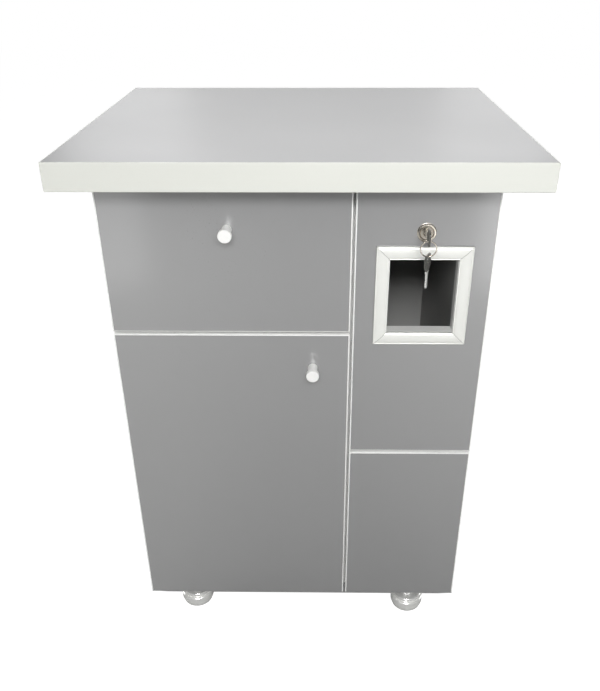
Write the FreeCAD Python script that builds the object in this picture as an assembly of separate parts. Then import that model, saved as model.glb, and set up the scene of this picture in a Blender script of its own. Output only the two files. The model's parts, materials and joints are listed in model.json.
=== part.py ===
import FreeCAD, Part
import math
import os

# Mailroom counter cabinet: drawer over a hinged door on the left, lockable parcel
# pull-out with a deposit opening over a fixed panel on the right.
# Millimetres. +Z up, the front faces -Y, +X is to the right seen from the front.
# Origin: on the floor, under the centre of the worktop.

# ---- driving dimensions ----
TOP_WIDTH, TOP_DEPTH, TOP_THICK = 650.0, 550.0, 38.0
HEIGHT = 860.0            # floor to top of worktop
FOOT_HEIGHT = 60.0        # floor to underside of carcass
BODY_WIDTH = 550.0        # carcass and fronts
BODY_X = -4.0             # carcass centre against worktop centre
OVERHANG = 50.0           # worktop beyond the fronts
BOARD = 18.0              # laminated board
BAND = 2.0                # edge band on fronts and worktop
CARCASS_BAND = 1.0        # edge band on carcass boards
FRONT_THICK = 18.0        # doors and drawer fronts
REVEAL = 4.0              # gap between neighbouring fronts
FRONT_GAP = 4.0           # fronts' rear face to carcass edge
REAR_Y = 260.0            # rear of carcass
BACK_THICK = 4.0          # back sheet
BACK_LAP = 9.0            # back sheet's lap into each side
SPLIT_X = BODY_X + 77.7   # centre of partition and column gap
LEFT_SPLIT_Z = 595.0      # gap between drawer and door
RIGHT_SPLIT_Z = 380.0     # gap between pull-out and fixed panel
STRETCHER_DEPTH = 100.0   # stretchers and right rail, front to rear
BOX_WALL = 12.0           # drawer and pull-out box walls
SLIDE_THICK = 12.7
DRAWER_LENGTH, PULL_LENGTH = 450.0, 350.0     # boxes and their slides

# ---- derived planes ----
BODY_Z0, BODY_Z1 = FOOT_HEIGHT, HEIGHT - TOP_THICK
BODY_X0, BODY_X1 = BODY_X - BODY_WIDTH / 2, BODY_X + BODY_WIDTH / 2
INNER_X0, INNER_X1 = BODY_X0 + BOARD, BODY_X1 - BOARD         # inner faces of the sides
PART_X0, PART_X1 = SPLIT_X - BOARD / 2, SPLIT_X + BOARD / 2   # faces of the partition
BAYS = ((INNER_X0, PART_X0), (PART_X1, INNER_X1))
FACE_Y = -TOP_DEPTH / 2 + OVERHANG            # front faces of the fronts
FRONT_REAR_Y = FACE_Y + FRONT_THICK           # rear faces of the fronts
EDGE_Y = FRONT_REAR_Y + FRONT_GAP             # front edge of carcass
BOARD_Y = EDGE_Y + CARCASS_BAND               # carcass boards start behind their band
BACK_Y = REAR_Y - BACK_THICK                  # front of the back sheet
FLOOR_Z = BODY_Z0 + BOARD                     # top of the bottom panel
DIVIDER_Z = LEFT_SPLIT_Z - BOARD / 2          # undersides of the crosswise boards
RAIL_Z = RIGHT_SPLIT_Z - BOARD / 2
STRETCHER_Z = BODY_Z1 - BOARD

# fronts: x0, x1, z0, z1
LEFT_X1, RIGHT_X0 = SPLIT_X - REVEAL / 2, SPLIT_X + REVEAL / 2
DRAWER_FRONT = (BODY_X0, LEFT_X1, LEFT_SPLIT_Z + REVEAL / 2, BODY_Z1 - REVEAL)
DOOR_FRONT = (BODY_X0, LEFT_X1, BODY_Z0, LEFT_SPLIT_Z - REVEAL / 2)
PULL_FRONT = (RIGHT_X0, BODY_X1, RIGHT_SPLIT_Z + REVEAL / 2, BODY_Z1 - REVEAL)
LOWER_FRONT = (RIGHT_X0, BODY_X1, BODY_Z0, RIGHT_SPLIT_Z - REVEAL / 2)
LOCK_X, LOCK_Z = (RIGHT_X0 + BODY_X1) / 2, 751.7

Vector = FreeCAD.Vector
RIGHT, REARWARD, UP = Vector(1, 0, 0), Vector(0, 1, 0), Vector(0, 0, 1)
LEFT, FORWARD = Vector(-1, 0, 0), Vector(0, -1, 0)


# ---- helpers ----
def save(name, shape):
    """Write a shape, or a list of shapes as one compound."""
    if isinstance(shape, list):
        shape = Part.makeCompound(shape)
    shape.exportStep("parts/%s.step" % name)


def box(x0, x1, y0, y1, z0, z1):
    return Part.makeBox(x1 - x0, y1 - y0, z1 - z0, Vector(x0, y0, z0))


def wall_box(wall_x, side, near, far, y0, y1, z0, z1):
    """Box from near to far off a wall; side is +1 or -1, the way the wall faces in X."""
    x0, x1 = sorted((wall_x + side * near, wall_x + side * far))
    return box(x0, x1, y0, y1, z0, z1)


def cyl(x, y, z, radius, length, axis):
    return Part.makeCylinder(radius, length, Vector(x, y, z), axis)


def polygon(points):
    return Part.Face(Part.makePolygon(points + [points[0]]))


def revolve(outline, base, axis):
    """Turn a closed (radius, distance along axis) outline about an axis through base."""
    face = polygon([base + RIGHT * radius + axis * along for radius, along in outline])
    return face.revolve(base, axis, 360)


def hexagon(x, y, z, across_flats, height, axis):
    side_dir = axis.cross(RIGHT)
    radius = across_flats / math.sqrt(3)
    angles = [math.radians(60 * k) for k in range(6)]
    corners = [Vector(x, y, z) + RIGHT * (radius * math.cos(angle))
               + side_dir * (radius * math.sin(angle)) for angle in angles]
    return polygon(corners).extrude(axis * height)


def cut(shape, tools):
    """Cut with those tools whose bounding boxes meet the shape's."""
    tools = [tool for tool in tools if shape.BoundBox.intersect(tool.BoundBox)]
    return shape.cut(tools) if tools else shape


def cut_all(shapes, tools):
    return [cut(shape, tools) for shape in shapes]


def pan_screw(x, y, z, axis, length, radius=1.75, head_radius=3.4, head_height=2.0):
    """Cross-recessed screw: head rests at the given point, shank runs along axis."""
    tip = 2.0
    seat = Vector(x, y, z)
    crown = seat - axis * head_height
    head = Part.makeCylinder(head_radius, head_height, crown, axis)
    rim = [edge for edge in head.Edges if edge.Curve.TypeId == "Part::GeomCircle"
           and (edge.CenterOfMass - crown).Length < 1e-3]
    head = head.makeFillet(0.8, rim)
    shank = Part.makeCylinder(radius, length - tip, seat, axis)
    point = Part.makeCone(radius, 0.4, tip, seat + axis * (length - tip), axis)
    recess = box(-0.45, 0.45, -1.9, 1.9, -0.01, 1.0).fuse(box(-1.9, 1.9, -0.45, 0.45, -0.01, 1.0))
    recess.Placement = FreeCAD.Placement(crown, FreeCAD.Rotation(UP, axis))
    return head.fuse([shank, point]).removeSplitter().cut(recess)


def heavy_screw(x, y, z, axis, length):
    return pan_screw(x, y, z, axis, length, radius=2.0, head_radius=4.0)


def front_core(x0, x1, z0, z1):
    """Board of a front inside its edge band."""
    return box(x0 + BAND, x1 - BAND, FACE_Y, FRONT_REAR_Y, z0 + BAND, z1 - BAND)


def front_band(x0, x1, z0, z1):
    """Edge band round a front, its face edges slightly rounded."""
    outer = box(x0, x1, FACE_Y, FRONT_REAR_Y, z0, z1)
    face_edges = [edge for edge in outer.Edges
                  if all(abs(vertex.Y - FACE_Y) < 1e-6 for vertex in edge.Vertexes)]
    outer = outer.makeFillet(0.9, face_edges)
    return outer.cut(box(x0 + BAND, x1 - BAND, FACE_Y - 1, FRONT_REAR_Y + 1,
                         z0 + BAND, z1 - BAND))


def box_sides(x0, x1, length, z0, z1):
    """Left and right walls of a drawer or pull-out box."""
    y1 = FRONT_REAR_Y + length
    return [box(x0, x0 + BOX_WALL, FRONT_REAR_Y, y1, z0, z1),
            box(x1 - BOX_WALL, x1, FRONT_REAR_Y, y1, z0, z1)]


def box_end(x0, x1, y0, z0, z1):
    """Crosswise wall of a box between its side walls."""
    return box(x0 + BOX_WALL, x1 - BOX_WALL, y0, y0 + BOX_WALL, z0, z1)


os.makedirs("parts", exist_ok=True)

# ---------------------------------------------------------------------------
# Telescopic slides: outer, middle and inner members as nested channels
# ---------------------------------------------------------------------------
DRAWER_SLIDE_Z, PULL_SLIDE_Z = 660.0, 430.0   # centre heights
SHEET = 1.2                                   # slide sheet thickness


def channel(wall_x, side, z, y0, y1, web, flange, half):
    """C-channel: web starts at a distance off the wall, flanges span the flange range."""
    def plate(near, far, z0, z1):
        return wall_box(wall_x, side, near, far, y0, y1, z0, z1)
    shape = plate(web, web + SHEET, z - half, z + half)
    shape = shape.fuse([plate(*flange, z + half - SHEET, z + half),
                        plate(*flange, z - half, z - half + SHEET)])
    return shape.removeSplitter()


def slide_set(wall_x, side, z, length):
    """Outer, middle, inner, screws into the carcass, screws into the box."""
    y0, y1 = BOARD_Y, BOARD_Y + length
    inner_web = SLIDE_THICK - SHEET
    outer = channel(wall_x, side, z, y0, y1, 0.0, (0.0, 10.4), 22.5)
    middle = channel(wall_x, side, z, y0 + 2, y1 - 2, 4.2, (4.2, 11.8), 19.6)
    inner = channel(wall_x, side, z, y0 - 2, y1 - 2, inner_web, (6.4, SLIDE_THICK), 16.6)
    wall_screws = [pan_screw(wall_x + side * SHEET, y, z, RIGHT * -side, 15.0)
                   for y in (y0 + 37, y0 + 165, y1 - 60)]
    box_screws = [pan_screw(wall_x + side * inner_web, y, z, RIGHT * side, 11.5)
                  for y in (y0 + 30, y0 + 190, y1 - 50)]
    return cut(outer, wall_screws), middle, cut(inner, box_screws), wall_screws, box_screws


def save_slides(name, bay, z, length):
    """Write a pair of slides; return the screws into the carcass and into the box."""
    pair = [slide_set(bay[0], 1, z, length), slide_set(bay[1], -1, z, length)]
    outers, middles, inners, wall_screws, box_screws = zip(*pair)
    save(name + "_slide_outers", list(outers))
    save(name + "_slide_mids", list(middles))
    save(name + "_slide_inners", list(inners))
    return sum(wall_screws, []), sum(box_screws, [])


drawer_wall_screws, drawer_screws = save_slides("drawer", BAYS[0], DRAWER_SLIDE_Z, DRAWER_LENGTH)
pull_wall_screws, pull_screws = save_slides("pullout", BAYS[1], PULL_SLIDE_Z, PULL_LENGTH)

# ---------------------------------------------------------------------------
# Concealed door hinges: cup in the door, cranked arm on the left side
# ---------------------------------------------------------------------------
HINGE_Z = (160.0, 493.0)
CUP_RADIUS, CUP_DEPTH, CUP_EDGE = 17.5, 13.6, 4.0   # CUP_EDGE: cup to door edge
PIN_EDGE, PIN_DEPTH, PIN_RADIUS = 9.0, 9.5, 2.0     # pin from door edge and rear face
PIN_X, PIN_Y = BODY_X0 + PIN_EDGE, FRONT_REAR_Y - PIN_DEPTH
CUP_X = BODY_X0 + CUP_EDGE + CUP_RADIUS
ARM_X = PIN_X + 12.25                               # side face of the arm
ARM_THICK = 2.5


def hinge_arm(z, pin):
    """Arm with its mounting plate, and the two plate screws."""
    x1 = ARM_X + ARM_THICK
    half_thick = ARM_THICK / 2
    arm = cyl(PIN_X, PIN_Y, z - 4.5, 2.8, 9.0, UP)      # eye round the pin
    arm = arm.fuse([
        # crank from the pin, and its leg to the rear
        box(PIN_X, x1, PIN_Y - half_thick, PIN_Y + half_thick, z - 4.5, z + 4.5),
        box(ARM_X, x1, PIN_Y - half_thick, EDGE_Y + 6, z - 4.5, z + 4.5),
        # wider arm with two flanges
        box(ARM_X, x1, EDGE_Y + 2, EDGE_Y + 66, z - 8, z + 8),
        box(ARM_X, ARM_X + 6.5, EDGE_Y + 6, EDGE_Y + 62, z - 8, z - 6.6),
        box(ARM_X, ARM_X + 6.5, EDGE_Y + 6, EDGE_Y + 62, z + 6.6, z + 8),
        # mounting plate
        box(INNER_X0, ARM_X + 0.5, EDGE_Y + 20, EDGE_Y + 60, z - 21, z + 21)])
    arm = arm.removeSplitter().cut(pin)
    screws = [pan_screw(ARM_X + 0.5, EDGE_Y + 37, z + dz, LEFT, 15.5) for dz in (-16.0, 16.0)]
    return arm.cut(screws), screws


def hinge_cup(z, bore):
    """Cup with rim, screw plate and the lugs that carry the pin, and its two screws."""
    plate = 1.2
    cup = bore.fuse([
        cyl(CUP_X, FRONT_REAR_Y, z, 19.0, plate, REARWARD),
        box(CUP_X - 2, CUP_X + 19, FRONT_REAR_Y, FRONT_REAR_Y + plate, z - 29, z + 29)])
    cup = cup.removeSplitter()
    cup = cup.cut(cyl(CUP_X, FRONT_REAR_Y + 2, z, CUP_RADIUS - 1.0, CUP_DEPTH + 2 - 1.0, FORWARD))
    floor_y = FRONT_REAR_Y - CUP_DEPTH
    lugs = box(PIN_X - 3.0, PIN_X + 3.2, floor_y + 0.5, PIN_Y + 3.2, z - 11.5, z + 11.5)
    lugs = lugs.cut(box(PIN_X - 5, PIN_X + 5, floor_y, PIN_Y + 5, z - 4.7, z + 4.7))
    lugs = lugs.common(cyl(CUP_X, FRONT_REAR_Y, z, CUP_RADIUS - 0.5, CUP_DEPTH, FORWARD))
    pin_hole = cyl(PIN_X, PIN_Y, z - 8.8, PIN_RADIUS + 0.03, 17.6, UP)
    cup = cup.fuse(lugs).removeSplitter().cut(pin_hole)
    screws = [pan_screw(CUP_X + 9.5, FRONT_REAR_Y + plate, z + dz, FORWARD, 14.0, head_height=1.6)
              for dz in (-24.0, 24.0)]
    return cup.cut(screws), screws


hinge_arms, hinge_pins, hinge_cups, cup_bores = [], [], [], []
hinge_screws, cup_screws = [], []
for z in HINGE_Z:
    pin = cyl(PIN_X, PIN_Y, z - 8.6, PIN_RADIUS, 17.2, UP)
    bore = cyl(CUP_X, FRONT_REAR_Y, z, CUP_RADIUS, CUP_DEPTH, FORWARD)
    arm, arm_screws = hinge_arm(z, pin)
    cup, plate_screws = hinge_cup(z, bore)
    hinge_arms.append(arm)
    hinge_pins.append(pin)
    hinge_cups.append(cup)
    cup_bores.append(bore)
    hinge_screws += arm_screws
    cup_screws += plate_screws
save("hinge_arms", hinge_arms)
save("hinge_pins", hinge_pins)
save("hinge_cups", hinge_cups)

# ---- strike: steel angle under the front stretcher, its leg just forward of the cam's plane ----
STRIKE_Y, STRIKE_Z0, STRIKE_HALF, STRIKE_THICK = EDGE_Y + 1.5, 782.0, 16.0, 2.0
STRIKE_X0, STRIKE_X1 = LOCK_X - STRIKE_HALF, LOCK_X + STRIKE_HALF
strike = box(STRIKE_X0, STRIKE_X1, STRIKE_Y, STRIKE_Y + STRIKE_THICK, STRIKE_Z0, STRETCHER_Z)
strike = strike.fuse(box(STRIKE_X0, STRIKE_X1, STRIKE_Y, STRIKE_Y + 29,
                         STRETCHER_Z - STRIKE_THICK, STRETCHER_Z)).removeSplitter()
strike_screws = [pan_screw(LOCK_X + dx, STRIKE_Y + 17, STRETCHER_Z - STRIKE_THICK, UP, 15.0)
                 for dx in (-9.0, 9.0)]
save("lock_strike", strike.cut(strike_screws))

# ---------------------------------------------------------------------------
# Dowels and fixing screws
# ---------------------------------------------------------------------------
DOWEL_RADIUS, DOWEL_LENGTH, DOWEL_SUNK = 4.0, 30.0, 12.0
# shorter pair that meets inside the partition without touching
SHORT_DOWEL = {"length": 25.0, "sunk": 7.5}


def cross_dowel(wall_x, side, y, board_z, length=DOWEL_LENGTH, sunk=DOWEL_SUNK):
    """Dowel along X, sunk into a wall and running into the board at board_z."""
    return cyl(wall_x - side * sunk, y, board_z + BOARD / 2, DOWEL_RADIUS, length, RIGHT * side)


dowels = []
for y in (-150.0, 30.0, 210.0):
    dowels += [cross_dowel(INNER_X0, 1, y, BODY_Z0),
               cross_dowel(INNER_X1, -1, y, BODY_Z0),
               cyl(SPLIT_X, y, FLOOR_Z - DOWEL_SUNK, DOWEL_RADIUS, DOWEL_LENGTH, UP),
               cross_dowel(INNER_X0, 1, y, DIVIDER_Z),
               cross_dowel(PART_X0, -1, y, DIVIDER_Z)]
for y in (BOARD_Y + 30.0, BACK_Y - 30.0):
    dowels += [cross_dowel(INNER_X0, 1, y, STRETCHER_Z),
               cross_dowel(PART_X0, -1, y, STRETCHER_Z, **SHORT_DOWEL),
               cross_dowel(PART_X1, 1, y, STRETCHER_Z, **SHORT_DOWEL),
               cross_dowel(INNER_X1, -1, y, STRETCHER_Z)]
dowels += [cross_dowel(PART_X1, 1, BOARD_Y + 30.0, RAIL_Z, **SHORT_DOWEL),
           cross_dowel(INNER_X1, -1, BOARD_Y + 30.0, RAIL_Z)]
save("carcass_dowels", dowels)

# back sheet, from behind: up the sides and partition, then along the bottom panel
back_screws = [pan_screw(x, REAR_Y, z, FORWARD, 15.0)
               for z in (110.0, 300.0, 490.0, 680.0, 790.0)
               for x in (INNER_X0 - BACK_LAP / 2, SPLIT_X, INNER_X1 + BACK_LAP / 2)]
back_screws += [pan_screw(x, REAR_Y, BODY_Z0 + BOARD / 2, FORWARD, 15.0)
                for x in (-180.0, -60.0, 170.0)]
short_screws = (drawer_wall_screws + pull_wall_screws + hinge_screws
                + strike_screws + back_screws)
save("fixing_screws_16", short_screws)

# worktop from below through the stretchers
long_screws = [heavy_screw(x0 + (x1 - x0) * fraction, y, STRETCHER_Z, UP, 35.0)
               for x0, x1 in BAYS
               for y in (BOARD_Y + 70.0, BACK_Y - 70.0)
               for fraction in (0.2, 0.8)]

# cleats behind the fixed lower front, screwed to it and to the boards beside them
CLEAT_WIDTH, CLEAT_DEPTH, CLEAT_Z0, CLEAT_Z1 = 18.0, 22.0, 96.0, 352.0
cleats = []
for wall_x, side in ((PART_X1, 1), (INNER_X1, -1)):
    cleats.append(wall_box(wall_x, side, 0, CLEAT_WIDTH, FRONT_REAR_Y,
                           FRONT_REAR_Y + CLEAT_DEPTH, CLEAT_Z0, CLEAT_Z1))
    long_screws += [heavy_screw(wall_x + side * CLEAT_WIDTH / 2, FRONT_REAR_Y + CLEAT_DEPTH, z,
                                FORWARD, 35.0) for z in (120.0, 328.0)]
    long_screws += [heavy_screw(wall_x + side * CLEAT_WIDTH, FRONT_REAR_Y + 13, z,
                                RIGHT * -side, 30.0) for z in (150.0, 298.0)]
save("fixing_screws_35", long_screws)
save("panel_cleats", cut_all(cleats, long_screws))
save("lower_front_panel", cut(front_core(*LOWER_FRONT), long_screws))

# ---------------------------------------------------------------------------
# Feet and their sockets in the bottom panel
# ---------------------------------------------------------------------------
FOOT_POS = {"foot_front_left": (-204.3, -179.8), "foot_front_right": (194.0, -188.0),
            "foot_rear_left": (-202.0, 214.0), "foot_rear_right": (194.0, 214.0)}
STEM_RADIUS = 5.0
# radius, height above floor
FOOT_BASE = [(0, 0), (25.3, 0), (26.4, 1.0), (29.0, 8.5), (29.3, 9.6), (29.3, 19.4),
             (28.9, 20.8), (27.6, 22), (24.4, 22), (24.4, 26), (5, 26), (5, 6), (0, 6)]
FOOT_COLLAR = [(5, 26), (26.4, 26), (26.4, 30.2), (25.6, 31), (21.8, 31), (20.8, 29.4),
               (13.4, 29.4), (12.4, 31), (5, 31)]


def foot(x, y):
    centre = Vector(x, y, 0)
    base = revolve(FOOT_BASE, centre, UP)
    collar = revolve(FOOT_COLLAR, centre, UP)
    stem = cyl(x, y, 6, STEM_RADIUS, 68.5, UP)
    nut = hexagon(x, y, 31, 17, 7, UP).cut(stem)
    return [base, collar, nut, stem]


def foot_socket(x, y, bore):
    flange = cyl(x, y, BODY_Z0 - 1.6, 11.0, 1.6, UP)
    socket = bore.fuse(flange).removeSplitter()
    return socket.cut(cyl(x, y, BODY_Z0 - 3, STEM_RADIUS + 0.05, 18.8, UP))


sockets, socket_bores = [], []
for name, (x, y) in FOOT_POS.items():
    bore = cyl(x, y, BODY_Z0, 6.5, 16.6, UP)
    socket_bores.append(bore)
    sockets.append(foot_socket(x, y, bore))
    save(name, foot(x, y))
save("foot_sockets", sockets)

# ---------------------------------------------------------------------------
# Carcass boards, holed for their fixings
# ---------------------------------------------------------------------------
fixings = dowels + short_screws + long_screws + socket_bores


def side_board(x0, x1, lap_x0):
    """Side with a rebate for the back sheet along its inner rear edge."""
    side = box(x0, x1, BOARD_Y, REAR_Y, BODY_Z0, BODY_Z1)
    side = side.cut(box(lap_x0, lap_x0 + BACK_LAP, BACK_Y, REAR_Y, BODY_Z0, BODY_Z1))
    return cut(side, fixings)


def inner_board(x0, x1, z0, z1, y0=BOARD_Y, y1=BACK_Y):
    return cut(box(x0, x1, y0, y1, z0, z1), fixings)


save("left_side", side_board(BODY_X0, INNER_X0, INNER_X0 - BACK_LAP))
save("right_side", side_board(INNER_X1, BODY_X1, INNER_X1))
save("bottom_panel", inner_board(INNER_X0, INNER_X1, BODY_Z0, FLOOR_Z))
save("partition", inner_board(PART_X0, PART_X1, FLOOR_Z, BODY_Z1))
save("drawer_divider", inner_board(INNER_X0, PART_X0, DIVIDER_Z, DIVIDER_Z + BOARD))
save("lower_right_rail", inner_board(PART_X1, INNER_X1, RAIL_Z, RAIL_Z + BOARD,
                                     y1=BOARD_Y + STRETCHER_DEPTH))
save("top_stretchers", [inner_board(x0, x1, STRETCHER_Z, BODY_Z1, y0, y0 + STRETCHER_DEPTH)
                        for y0 in (BOARD_Y, BACK_Y - STRETCHER_DEPTH) for x0, x1 in BAYS])
save("back_panel", cut(box(INNER_X0 - BACK_LAP, INNER_X1 + BACK_LAP, BACK_Y, REAR_Y,
                           BODY_Z0, BODY_Z1), back_screws))

# front edges of the carcass boards: x0, x1, z0, z1
BANDED_EDGES = [
    (BODY_X0, INNER_X0, BODY_Z0, BODY_Z1), (INNER_X1, BODY_X1, BODY_Z0, BODY_Z1),
    (INNER_X0, INNER_X1, BODY_Z0, FLOOR_Z), (PART_X0, PART_X1, FLOOR_Z, BODY_Z1),
    (INNER_X0, PART_X0, DIVIDER_Z, DIVIDER_Z + BOARD),
    (PART_X1, INNER_X1, RAIL_Z, RAIL_Z + BOARD),
    (INNER_X0, PART_X0, STRETCHER_Z, BODY_Z1), (PART_X1, INNER_X1, STRETCHER_Z, BODY_Z1)]
edge_bands = [box(x0, x1, EDGE_Y, BOARD_Y, z0, z1) for x0, x1, z0, z1 in BANDED_EDGES]
save("fixed_edge_bands", edge_bands + [front_band(*LOWER_FRONT)])


# ---- worktop: board, and a band round it with rounded edges ----
def worktop_block(inset, z0, z1):
    half_width, half_depth = TOP_WIDTH / 2 - inset, TOP_DEPTH / 2 - inset
    return box(-half_width, half_width, -half_depth, half_depth, z0, z1)


rounded_top = worktop_block(0, BODY_Z1, HEIGHT)
rounded_top = rounded_top.makeFillet(1.2, rounded_top.Edges)
save("worktop_edge_band", rounded_top.cut(worktop_block(BAND, BODY_Z1 - 1, HEIGHT + 1)))
save("worktop_board", cut(worktop_block(BAND, BODY_Z1, HEIGHT), long_screws))

# ---------------------------------------------------------------------------
# Turned knobs
# ---------------------------------------------------------------------------
KNOB_LENGTH, KNOB_RADIUS, KNOB_CHAMFER = 28.0, 9.5, 0.7
# radius, distance proud of the front; widens toward the chamfered end
KNOB = [(0, 0), (7.1, 0), (7.1, 9.0), (7.3, 12.0), (7.8, 15.0), (8.6, 17.6), (9.2, 19.4),
        (KNOB_RADIUS, 21.0), (KNOB_RADIUS, KNOB_LENGTH - KNOB_CHAMFER),
        (KNOB_RADIUS - KNOB_CHAMFER, KNOB_LENGTH), (0, KNOB_LENGTH)]


def knob_and_screw(x, z):
    """Knob and the screw that holds it from behind the front."""
    screw = heavy_screw(x, FRONT_REAR_Y, z, FORWARD, FRONT_THICK + 12)
    return cut(revolve(KNOB, Vector(x, FACE_Y, z), FORWARD), [screw]), screw


# ---------------------------------------------------------------------------
# Drawer
# ---------------------------------------------------------------------------
DRAWER_Z0, DRAWER_BOX_HEIGHT = 616.0, 120.0
DRAWER_Z1 = DRAWER_Z0 + DRAWER_BOX_HEIGHT
DRAWER_X0, DRAWER_X1 = INNER_X0 + SLIDE_THICK, PART_X0 - SLIDE_THICK
DRAWER_Y1 = FRONT_REAR_Y + DRAWER_LENGTH
BOTTOM_THICK, BOTTOM_LIFT = 4.0, 10.0
GROOVE_INSET = BOX_WALL - 4.0                 # bottom sits 4 deep in the box walls
KNOB_OFFSET, DRAWER_KNOB_Z = 2.4, 755.0       # KNOB_OFFSET: right of the front's middle

drawer_bottom = box(DRAWER_X0 + GROOVE_INSET, DRAWER_X1 - GROOVE_INSET,
                    FRONT_REAR_Y + GROOVE_INSET, DRAWER_Y1 - GROOVE_INSET,
                    DRAWER_Z0 + BOTTOM_LIFT, DRAWER_Z0 + BOTTOM_LIFT + BOTTOM_THICK)
drawer_screws += [pan_screw(x, FRONT_REAR_Y + BOX_WALL, z, FORWARD, 25.0)
                  for x in (DRAWER_X0 + 40, DRAWER_X1 - 40)
                  for z in (DRAWER_Z0 + 35, DRAWER_Z1 - 25)]
drawer_knob, knob_screw = knob_and_screw((BODY_X0 + LEFT_X1) / 2 + KNOB_OFFSET, DRAWER_KNOB_Z)
drawer_screws.append(knob_screw)
drawer_ends = [box_end(DRAWER_X0, DRAWER_X1, y, DRAWER_Z0, DRAWER_Z1)
               for y in (FRONT_REAR_Y, DRAWER_Y1 - BOX_WALL)]
drawer_sides = box_sides(DRAWER_X0, DRAWER_X1, DRAWER_LENGTH, DRAWER_Z0, DRAWER_Z1)
save("drawer_front", cut(front_core(*DRAWER_FRONT), drawer_screws))
save("drawer_front_band", front_band(*DRAWER_FRONT))
save("drawer_sides", cut_all(drawer_sides, drawer_screws + [drawer_bottom]))
save("drawer_box_ends", cut_all(drawer_ends, drawer_screws + [drawer_bottom]))
save("drawer_bottom", drawer_bottom)
save("drawer_knob", drawer_knob)
save("drawer_screws", drawer_screws)

# ---------------------------------------------------------------------------
# Door
# ---------------------------------------------------------------------------
# radius, distance behind the door
BUFFER = [(0, 0), (3.2, 0), (3.2, 2.6), (2.4, 3.7), (0, 3.95)]
door_knob, knob_screw = knob_and_screw(16.8, 537.0)
door_screws = cup_screws + [knob_screw]
save("door_panel", cut(front_core(*DOOR_FRONT), cup_bores + door_screws))
save("door_band", front_band(*DOOR_FRONT))
save("door_knob", door_knob)
save("door_screws", door_screws)
save("door_buffers", [revolve(BUFFER, Vector(PART_X0 + 2.6, FRONT_REAR_Y, z), REARWARD)
                      for z in (DOOR_FRONT[2] + 9, DOOR_FRONT[3] - 5.5)])

# ---------------------------------------------------------------------------
# Lockable pull-out with the deposit opening
# ---------------------------------------------------------------------------
PULL_Z0, PULL_BOX_HEIGHT = 394.0, 358.0
PULL_Z1 = PULL_Z0 + PULL_BOX_HEIGHT
PULL_X0, PULL_X1 = PART_X1 + SLIDE_THICK, INNER_X1 - SLIDE_THICK
PULL_Y1 = FRONT_REAR_Y + PULL_LENGTH
SLOT_WIDTH, SLOT_HEIGHT, SLOT_Z0 = 96.0, 113.0, 599.2
SLOT_X0, SLOT_X1 = LOCK_X - SLOT_WIDTH / 2, LOCK_X + SLOT_WIDTH / 2
SLOT_Z1 = SLOT_Z0 + SLOT_HEIGHT
SLOT_BAND = 1.0
BARREL_RADIUS = 11.0                          # lock housing barrel


def slot_block(grow, y_over):
    """Block filling the opening, grown all round and run past both faces."""
    return box(SLOT_X0 - grow, SLOT_X1 + grow, FACE_Y - y_over, FRONT_REAR_Y + y_over,
               SLOT_Z0 - grow, SLOT_Z1 + grow)


for x in (PULL_X0 + 35, PULL_X1 - 35):
    pull_screws += [pan_screw(x, FRONT_REAR_Y + BOX_WALL, z, FORWARD, 25.0)
                    for z in (PULL_Z0 + 45, SLOT_Z0 - 40)]
    pull_screws.append(pan_screw(x, PULL_Y1, PULL_Z0 + BOX_WALL / 2, FORWARD, 30.0))
pull_front = cut(front_core(*PULL_FRONT).cut(slot_block(SLOT_BAND, 1)), pull_screws)
pull_front = pull_front.cut(cyl(LOCK_X, FACE_Y - 1, LOCK_Z, BARREL_RADIUS, 30, REARWARD))
pull_box_front = box_end(PULL_X0, PULL_X1, FRONT_REAR_Y, PULL_Z0, SLOT_Z0 - 8)
pull_back = box_end(PULL_X0, PULL_X1, PULL_Y1 - BOX_WALL, PULL_Z0, PULL_Z1)
pull_bottom = box(PULL_X0 + BOX_WALL, PULL_X1 - BOX_WALL, FRONT_REAR_Y + BOX_WALL,
                  PULL_Y1 - BOX_WALL, PULL_Z0, PULL_Z0 + BOX_WALL)
pull_sides = box_sides(PULL_X0, PULL_X1, PULL_LENGTH, PULL_Z0, PULL_Z1)
save("pullout_front", pull_front)
save("pullout_front_band", front_band(*PULL_FRONT))
save("slot_edge_band", slot_block(SLOT_BAND, 0).cut(slot_block(0, 1)))
save("pullout_sides", cut_all(pull_sides, pull_screws))
save("pullout_box_front", cut(pull_box_front, pull_screws))
save("pullout_back", cut(pull_back, pull_screws))
save("pullout_bottom", cut(pull_bottom, pull_screws))
save("pullout_screws", pull_screws)

# ---- frame round the opening: four mitred lengths of a low crowned, beaded profile ----
FRAME_WIDTH = 20.0
# distance outward from the opening, height proud of the front
FRAME_PROFILE = [
    (0.4, 0), (0.4, 2.7), (0.65, 3.1), (1.0, 3.22), (1.45, 3.1), (1.9, 2.85), (3.2, 3.62),
    (5.2, 4.3), (7.6, 4.68), (10.0, 4.8), (12.4, 4.68), (14.8, 4.3), (16.8, 3.75), (18.1, 3.1),
    (18.5, 3.45), (18.95, 3.6), (19.45, 3.38), (19.85, 2.7), (20.0, 2.0), (20.0, 0)]
FRAME_X0, FRAME_X1 = SLOT_X0 - FRAME_WIDTH, SLOT_X1 + FRAME_WIDTH
FRAME_Z0, FRAME_Z1 = SLOT_Z0 - FRAME_WIDTH, SLOT_Z1 + FRAME_WIDTH


def mitre(*corners):
    """Block that keeps one mitred length."""
    return polygon([Vector(x, FACE_Y - 20, z) for x, z in corners]).extrude(REARWARD * 40)


def frame_rail(inner_z, side):
    points = [Vector(FRAME_X0, FACE_Y - proud, inner_z + side * out)
              for out, proud in FRAME_PROFILE]
    return polygon(points).extrude(RIGHT * (FRAME_X1 - FRAME_X0))


def frame_stile(inner_x, side):
    points = [Vector(inner_x + side * out, FACE_Y - proud, FRAME_Z0)
              for out, proud in FRAME_PROFILE]
    return polygon(points).extrude(UP * (FRAME_Z1 - FRAME_Z0))


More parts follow.
